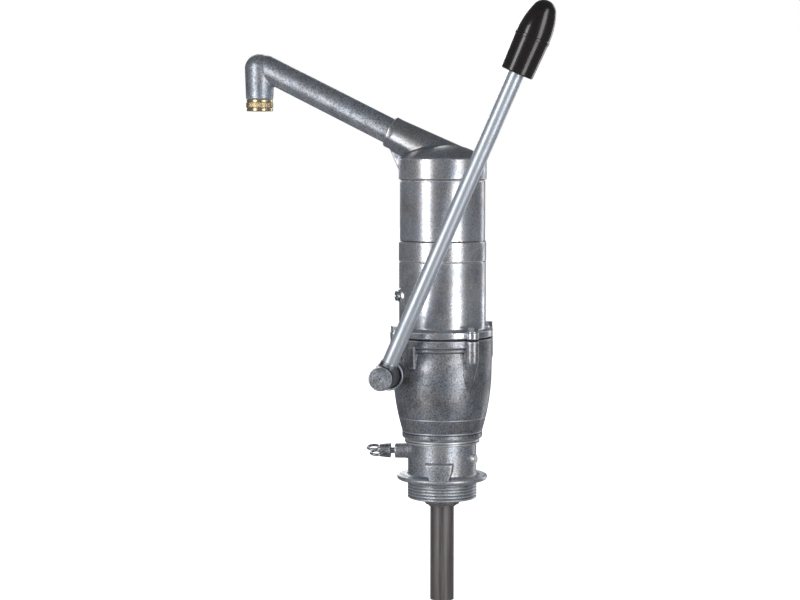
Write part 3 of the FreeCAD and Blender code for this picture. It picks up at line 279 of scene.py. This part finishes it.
# Heights, in millimetres, of the painted highlight rings, the painted shadow rings and the cap roof above
# which painted shade darkens the casting.
NECK_SHADOW = 41.0
FOOT_SHADOW = 50.0
FOOT_EDGE_HIGHLIGHT = 51.3
BOWL_RING_HIGHLIGHT = 66.0
BAND_FOOT_HIGHLIGHT = 229.6
BAND_SHADOW = 250.2
TUBE_RIM_HIGHLIGHT = 312.0
CAP_SHADOW = 313.6
CAP_ROOF = 336.0

# Near-black colour of the painted shadow rings.
PAINTED_SHADOW_COLOUR = (0.02, 0.02, 0.022)
RING_RELIEF = 0.25


def floor_paper():
    """White paper with a faint grain, lit from within so that it stays white."""
    shader = Shader("floor_paper")
    grain = shader.noise(900, 3)
    colour = shader.colours(grain, (0.3, (0.90, 0.90, 0.90)), (0.7, (0.93, 0.93, 0.93)))
    shader.set(Roughness=0.9, Emission_Color=WHITE, Emission_Strength=1.0)
    return shader.finish(colour=colour)


def cast_aluminium(name, light, dark, gloss, relief, highlight_rings=(), shadow_rings=(), painted_shade_above=None, edge_wear_and_highlight_strength=0.7, frosting=0.3,
                   frost_scale=95, speck=0.42, metallic=0.92):
    """Raw casting: fine grain and speckle over broad stains, small pits and frosted patches, outer edges
    lightened as both wear and painted highlight, and painted shade in the corners. Relief is in
    millimetres.
    Highlight rings are painted highlights over a slight raised relief, and shadow rings are painted
    shadows, each (height, half width) in millimetres; above the roof height the casting is darkened as
    painted shade."""
    shader = Shader(name)
    shader.set(Metallic=metallic)
    stains = shader.noise(30, 5, 0.6, distortion=0.5)
    grain = shader.noise(640, 4, 0.8)
    fine = shader.noise(2200, 3, 0.6)
    pits = shader.cells(420)
    tint = shader.noise(48, 4, 0.6)
    # Lighter metal for frosted patches and worn edges, and also the colour of the painted highlights.
    rubbed_and_highlight_colour = tuple(min(0.95, value * 1.35) for value in light)
    base = shader.colours(stains, (0.36, dark), (0.62, light))
    warm = shader.colours(tint, (0.38, (0.97, 0.99, 1.03)), (0.62, (1.04, 0.985, 0.95)))
    base = shader.mix(1.0, base, warm, "MULTIPLY")
    speckle = shader.ramp(grain, (0.40, speck), (0.56, 1.1))
    base = shader.mix(1.0, base, speckle, "MULTIPLY")
    pitted = shader.ramp(pits, (0.05, 0.55), (0.16, 1.0))
    base = shader.mix(1.0, base, pitted, "MULTIPLY")
    frost = shader.ramp(shader.noise(frost_scale, 6, 0.75, distortion=0.8), (0.54, 0.0), (0.66, frosting))
    base = shader.mix(frost, base, rubbed_and_highlight_colour)
    height = shader.height()
    # Painted shade: above this height, on the cap's roof, the casting is darkened.
    if painted_shade_above:
        painted_roof_shade = shader.ramp(shader.step(height, painted_shade_above), (0.0, 1.0), (1.0, 0.74))
        base = shader.mix(1.0, base, painted_roof_shade, "MULTIPLY")
    # Outer edges lightened: partly real wear, partly painted highlight.
    edge_wear_and_highlight = shader.math("MULTIPLY", shader.edges(0.505, 0.535), edge_wear_and_highlight_strength)
    base = shader.mix(edge_wear_and_highlight, base, rubbed_and_highlight_colour)
    # Painted shade: hollows and inside corners darkened by their curvature.
    painted_corner_shade = shader.ramp(shader.edges(0.44, 0.492), (0.0, 0.35), (1.0, 1.0))
    base = shader.mix(1.0, base, painted_corner_shade, "MULTIPLY")
    # Painted highlight rings in the lighter metal colour.
    for level, half_width in highlight_rings:
        base = shader.mix(shader.band(height, level, half_width), base, rubbed_and_highlight_colour)
    # Painted shadow rings in near black.
    for level, half_width in shadow_rings:
        base = shader.mix(shader.band(height, level, half_width), base, PAINTED_SHADOW_COLOUR)
    roughness = shader.ramp(stains, (0.35, gloss + 0.1), (0.65, gloss))
    normal = shader.bump(grain, relief)
    normal = shader.bump(fine, relief * 0.4, normal)
    normal = shader.bump(pitted, relief * 0.8, normal)
    # A slight raised relief under each painted highlight ring.
    for level, half_width in highlight_rings:
        normal = shader.bump(shader.band(height, level, half_width), RING_RELIEF, normal)
    return shader.finish(colour=base, roughness=roughness, normal=normal)


def turned_metal(name, colour, gloss, streak_scale, metallic=1.0, variation=0.12):
    """Drawn or turned bar: fine streaks along Z and soft blotches."""
    shader = Shader(name)
    shader.set(Metallic=metallic)
    streaks = shader.noise(1.0, 4, 0.6, shader.stretched(streak_scale, streak_scale * 0.02))
    blotches = shader.noise(45, 4, 0.6)
    grain = shader.noise(1300, 3)
    darker = tuple(value * (1 - variation) for value in colour)
    base = shader.colours(streaks, (0.3, darker), (0.7, colour))
    stain = shader.ramp(blotches, (0.3, 1 - variation), (0.6, 1.0))
    base = shader.mix(1.0, base, stain, "MULTIPLY")
    roughness = shader.ramp(blotches, (0.3, gloss + 0.1), (0.7, gloss))
    normal = shader.bump(streaks, 0.01)
    normal = shader.bump(grain, 0.012, normal)
    return shader.finish(colour=base, roughness=roughness, normal=normal)


def dull_pipe():
    """Dark steel pipe with long brownish streaks."""
    shader = Shader("dull_pipe")
    shader.set(Metallic=0.75)
    streaks = shader.noise(1.0, 5, 0.65, shader.stretched(260, 9))
    rust = shader.noise(1.0, 4, 0.6, shader.stretched(90, 14))
    grain = shader.noise(1400, 4)
    base = shader.colours(streaks, (0.3, (0.13, 0.115, 0.115)), (0.7, (0.30, 0.28, 0.28)))
    brown = shader.ramp(rust, (0.5, 0.0), (0.72, 0.55))
    base = shader.mix(brown, base, (0.16, 0.11, 0.09))
    roughness = shader.ramp(grain, (0.3, 0.55), (0.7, 0.36))
    normal = shader.bump(grain, 0.04)
    return shader.finish(colour=base, roughness=roughness, normal=normal)


def turned_brass():
    """Pale brass with tool marks round it, tarnished unevenly, with painted shade darkening its grooves."""
    shader = Shader("turned_brass")
    shader.set(Metallic=1.0)
    rings = shader.noise(1.0, 3, 0.5, shader.stretched(12, 2600))
    tarnish = shader.noise(160, 4, 0.6)
    base = shader.colours(tarnish, (0.3, (0.85, 0.62, 0.32)), (0.62, (0.97, 0.83, 0.55)))
    # Painted shade: grooves and hollows darkened by their curvature.
    painted_groove_shade = shader.ramp(shader.edges(0.42, 0.5), (0.0, 0.35), (1.0, 1.0))
    base = shader.mix(1.0, base, painted_groove_shade, "MULTIPLY")
    roughness = shader.ramp(tarnish, (0.3, 0.34), (0.7, 0.2))
    normal = shader.bump(rings, 0.012)
    return shader.finish(colour=base, roughness=roughness, normal=normal)


def moulded_bakelite():
    """Nearly black, brownish moulded grip, glossy with a faint orange-peel skin."""
    shader = Shader("moulded_bakelite")
    shader.set(Coat_Weight=0.6, Coat_Roughness=0.06, Specular_IOR_Level=0.55)
    marble = shader.noise(120, 5, 0.6, distortion=1.2)
    peel = shader.noise(420, 3)
    base = shader.colours(marble, (0.35, (0.006, 0.004, 0.004)), (0.7, (0.014, 0.009, 0.008)))
    roughness = shader.ramp(marble, (0.3, 0.30), (0.7, 0.18))
    normal = shader.bump(peel, 0.03)
    return shader.finish(colour=base, roughness=roughness, normal=normal)


def black_rubber():
    """Matt rubber with a little dust."""
    shader = Shader("black_rubber")
    grain = shader.noise(1500, 4)
    dust = shader.noise(60, 4)
    base = shader.colours(dust, (0.4, (0.012, 0.012, 0.013)), (0.8, (0.035, 0.034, 0.033)))
    roughness = shader.ramp(grain, (0.3, 0.8), (0.7, 0.6))
    return shader.finish(colour=base, roughness=roughness, normal=shader.bump(grain, 0.03))


def zinc_plate():
    """Zinc plate with a fine spangle and grime in its grain."""
    shader = Shader("zinc_plate")
    shader.set(Metallic=1.0)
    spangle = shader.cells(520)
    grain = shader.noise(900, 4)
    base = shader.colours(spangle, (0.1, (0.55, 0.58, 0.62)), (0.8, (0.72, 0.74, 0.78)))
    grime = shader.ramp(grain, (0.36, 0.45), (0.5, 1.0))
    base = shader.mix(1.0, base, grime, "MULTIPLY")
    roughness = shader.ramp(grain, (0.3, 0.45), (0.7, 0.28))
    return shader.finish(colour=base, roughness=roughness, normal=shader.bump(grain, 0.02))


def make_materials():
    """Every finish by name. A casting's two colours are its clean and its stained metal."""
    return {
        # Rings of painted highlight and painted shadow, and the painted shade on the cap's roof, are set in
        # these finishes.
        "bowl": cast_aluminium("bowl_casting", (0.56, 0.58, 0.62), (0.34, 0.35, 0.37), 0.36, 0.08,
                               highlight_rings=[(BOWL_RING_HIGHLIGHT, 0.7), (FOOT_EDGE_HIGHLIGHT, 0.8)], shadow_rings=[(FOOT_SHADOW, 0.5)]),
        "tube": cast_aluminium("tube_casting", (0.86, 0.88, 0.92), (0.52, 0.54, 0.57), 0.24, 0.03,
                               highlight_rings=[(TUBE_RIM_HIGHLIGHT, 0.6), (BAND_FOOT_HIGHLIGHT, 0.5)],
                               shadow_rings=[(CAP_SHADOW, 0.5), (BAND_SHADOW, 0.5)], speck=0.68),
        "cap": cast_aluminium("cap_casting", (0.86, 0.88, 0.92), (0.60, 0.62, 0.65), 0.26, 0.04,
                              painted_shade_above=CAP_ROOF, speck=0.6),
        "spout": cast_aluminium("spout_casting", (0.60, 0.65, 0.71), (0.40, 0.43, 0.47), 0.38, 0.05,
                                metallic=0.86),
        "base": cast_aluminium("base_casting_metal", (0.76, 0.80, 0.85), (0.48, 0.51, 0.55), 0.36, 0.06,
                               shadow_rings=[(NECK_SHADOW, 0.6)]),
        "hub": cast_aluminium("hub_casting", (0.44, 0.46, 0.49), (0.10, 0.105, 0.115), 0.26, 0.25, edge_wear_and_highlight_strength=1.0,
                              frosting=1.0, frost_scale=560),
        "rod": turned_metal("galvanised_rod", (0.80, 0.85, 0.92), 0.38, 900, metallic=0.85),
        "steel": turned_metal("bright_steel", (0.60, 0.61, 0.63), 0.28, 700),
        "pipe": dull_pipe(),
        "brass": turned_brass(),
        "grip": moulded_bakelite(),
        "rubber": black_rubber(),
        "zinc": zinc_plate(),
        "iron": cast_aluminium("cast_iron", (0.20, 0.20, 0.21), (0.11, 0.11, 0.12), 0.46, 0.08),
    }


# ---------------------------------------------------------------- pieces


SMOOTHING = 0.5


def add_smoothing(piece, passes):
    smooth = piece.modifiers.new("smooth", "SMOOTH")
    smooth.iterations = passes
    smooth.factor = SMOOTHING
    return smooth


def apply_modifiers(piece):
    """Bakes a piece's modifiers into its mesh."""
    depsgraph = bpy.context.evaluated_depsgraph_get()
    mesh = bpy.data.meshes.new_from_object(piece.evaluated_get(depsgraph))
    piece.modifiers.clear()
    piece.data = mesh


def settle(piece, node, material):
    """Gives a finished piece its material and its body, in place of the CAD node it stands for."""
    piece.data.materials.clear()
    piece.data.materials.append(material)
    piece.data.polygons.foreach_set("use_smooth", [True] * len(piece.data.polygons))
    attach(piece, BODY_OF[node])
    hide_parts(node)


def casting(node, voxel, passes, material):
    """A cast body: its solid rebuilt in faces of one size, the voxel in millimetres, then smoothed
    so that every corner is round."""
    piece = bpy.data.objects.new(node + "_skin", NODES[node].data.copy())
    bpy.context.scene.collection.objects.link(piece)
    remesh = piece.modifiers.new("remesh", "REMESH")
    remesh.mode = "VOXEL"
    remesh.voxel_size = voxel * MM
    add_smoothing(piece, passes)
    apply_modifiers(piece)
    settle(piece, node, material)
    return piece


def fillet(piece, centre, reach, passes):
    """Smooths a piece strongly round one spot, which fills a sharp inside corner."""
    group = piece.vertex_groups.new(name="fillet")
    for vertex in piece.data.vertices:
        gap = (vertex.co - centre).length
        if gap < reach:
            group.add([vertex.index], 1 - (gap / reach) ** 2, "REPLACE")
    add_smoothing(piece, passes).vertex_group = group.name
    apply_modifiers(piece)


def true_up(piece, radii, slack):
    """Puts vertices that lie near a turned radius round the pump's axis exactly on it; millimetres."""
    for vertex in piece.data.vertices:
        radius = math.hypot(vertex.co.x, vertex.co.y)
        for target in radii:
            if abs(radius - target * MM) < slack * MM:
                vertex.co.x *= target * MM / radius
                vertex.co.y *= target * MM / radius


def lathe(name, rows, columns, place, radius_at):
    """A turned piece with a closed outline: rows are heights, radius_at(row, angle) the radius."""
    vertices = []
    for row, height in enumerate(rows):
        for column in range(columns):
            angle = 2 * math.pi * column / columns
            radius = radius_at(row, angle)
            spoke = Vector((radius * math.cos(angle), radius * math.sin(angle), height))
            vertices.append(place + spoke)
    faces = []
    for row in range(len(rows)):
        above = (row + 1) % len(rows)
        for column in range(columns):
            beside = (column + 1) % columns
            faces.append((row * columns + column, row * columns + beside,
                          above * columns + beside, above * columns + column))
    mesh = bpy.data.meshes.new(name)
    mesh.from_pydata(vertices, [], faces)
    piece = bpy.data.objects.new(name, mesh)
    bpy.context.scene.collection.objects.link(piece)
    return piece


def knurled_ring(material):
    """The brass outlet ring, with a diamond knurl cut into its raised band."""
    low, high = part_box("outlet_ring")
    axis = Vector(((low.x + high.x) / 2, (low.y + high.y) / 2, low.z))
    band = (high.x - low.x) / 2 / MM
    plain = band - 0.4
    groove = band - 1.1
    tall = (high.z - low.z) / MM
    bore, socket, floor = 10.0, 12.7, 2.0
    knurl_start, knurl_end, knurl_step = 3.7, 8.7, 0.2
    outline = [(bore, 0), (plain - 0.4, 0), (plain - 0.1, 0.1), (plain, 0.4), (plain, 2.8),
               (plain - 0.2, 3.0), (groove, 3.2), (groove, 3.4), (band - 0.3, 3.6)]
    first = len(outline)
    knurl_rows = round((knurl_end - knurl_start) / knurl_step)
    for row in range(knurl_rows + 1):
        outline.append((band, knurl_start + knurl_step * row))
    last = len(outline)
    outline += [(band - 0.3, 8.8), (groove, 9.0), (groove, 9.2), (plain - 0.1, 9.4), (plain, 9.6),
                (plain, tall - 0.3), (plain - 0.3, tall), (socket, tall), (socket, floor), (bore, floor)]
    diamonds = 58
    columns = 8 * diamonds
    depth = 0.2

    def radius_at(row, angle):
        radius, height = outline[row]
        if first <= row < last:
            slant = height * diamonds / band
            rising = abs(math.cos((diamonds * angle + slant) / 2))
            falling = abs(math.cos((diamonds * angle - slant) / 2))
            radius -= depth * (1 - max(rising, falling)) * 2
        return radius * MM

    piece = lathe("knurled_ring", [height * MM for _, height in outline], columns, axis, radius_at)
    settle(piece, "outlet_ring", material)


# The finish of each node that keeps its CAD mesh.
FINISH = {
    "base": ["swivel_ring", "side_plug"],
    "steel": ["lever_shaft", "hub_key", "arm_lock_pin", "crank_pin", "piston_rod", "rod_nut", "valve_guide",
              "retaining_ring", "suction_valve_cage", "suction_valve_disc"],
    "zinc": ["flange_bolts", "flange_washers", "vent_screw"],
    "pipe": ["suction_pipe", "suction_union"],
    "rod": ["lever_rod"],
    "brass": ["front_bush", "rear_bush", "shaft_gland", "crank_roller", "piston", "piston_valve_disc"],
    "iron": ["rocker_arm", "crosshead"],
    "grip": ["lever_grip"],
    "rubber": ["suction_valve_seal", "swivel_seal", "drain_seal", "shaft_seal", "flange_gasket",
               "vent_washer", "cylinder_seal", "cap_seal", "outlet_washer", "lower_piston_seal",
               "upper_piston_seal"],
}


def finish_nodes(metal):
    for key, names in FINISH.items():
        for name in names:
            NODES[name].data.materials.clear()
            NODES[name].data.materials.append(metal[key])


# Node, voxel in millimetres, smoothing passes, finish, and radii to true up with their slack.
CASTINGS = [
    ("bowl_housing", 0.8, 4, "bowl", [], 0),
    ("base_casting", 0.65, 3, "base", [], 0),
    ("cap", 0.8, 4, "cap", [45.75], 0.2),
    ("upper_tube", 0.9, 3, "tube", [44.4], 0.2),
    ("lower_cylinder", 0.8, 3, "tube", [45.3, 45.6], 0.15),
    ("spout", 0.75, 5, "spout", [], 0),
    ("lever_hub", 0.5, 4, "hub", [], 0),
    ("drain_wing_screw", 0.35, 3, "hub", [], 0),
]
NOZZLE_CORNER = Vector((-185 * MM, 0, 408.6 * MM))


def build_castings(metal):
    for node, voxel, passes, finish, radii, slack in CASTINGS:
        piece = casting(node, voxel, passes, metal[finish])
        if radii:
            true_up(piece, radii, slack)
        if node == "spout":
            fillet(piece, NOZZLE_CORNER, reach=16 * MM, passes=40)


light_the_scene()
add_camera()
add_floor()
METAL = make_materials()
finish_nodes(METAL)
build_castings(METAL)
knurled_ring(METAL["brass"])
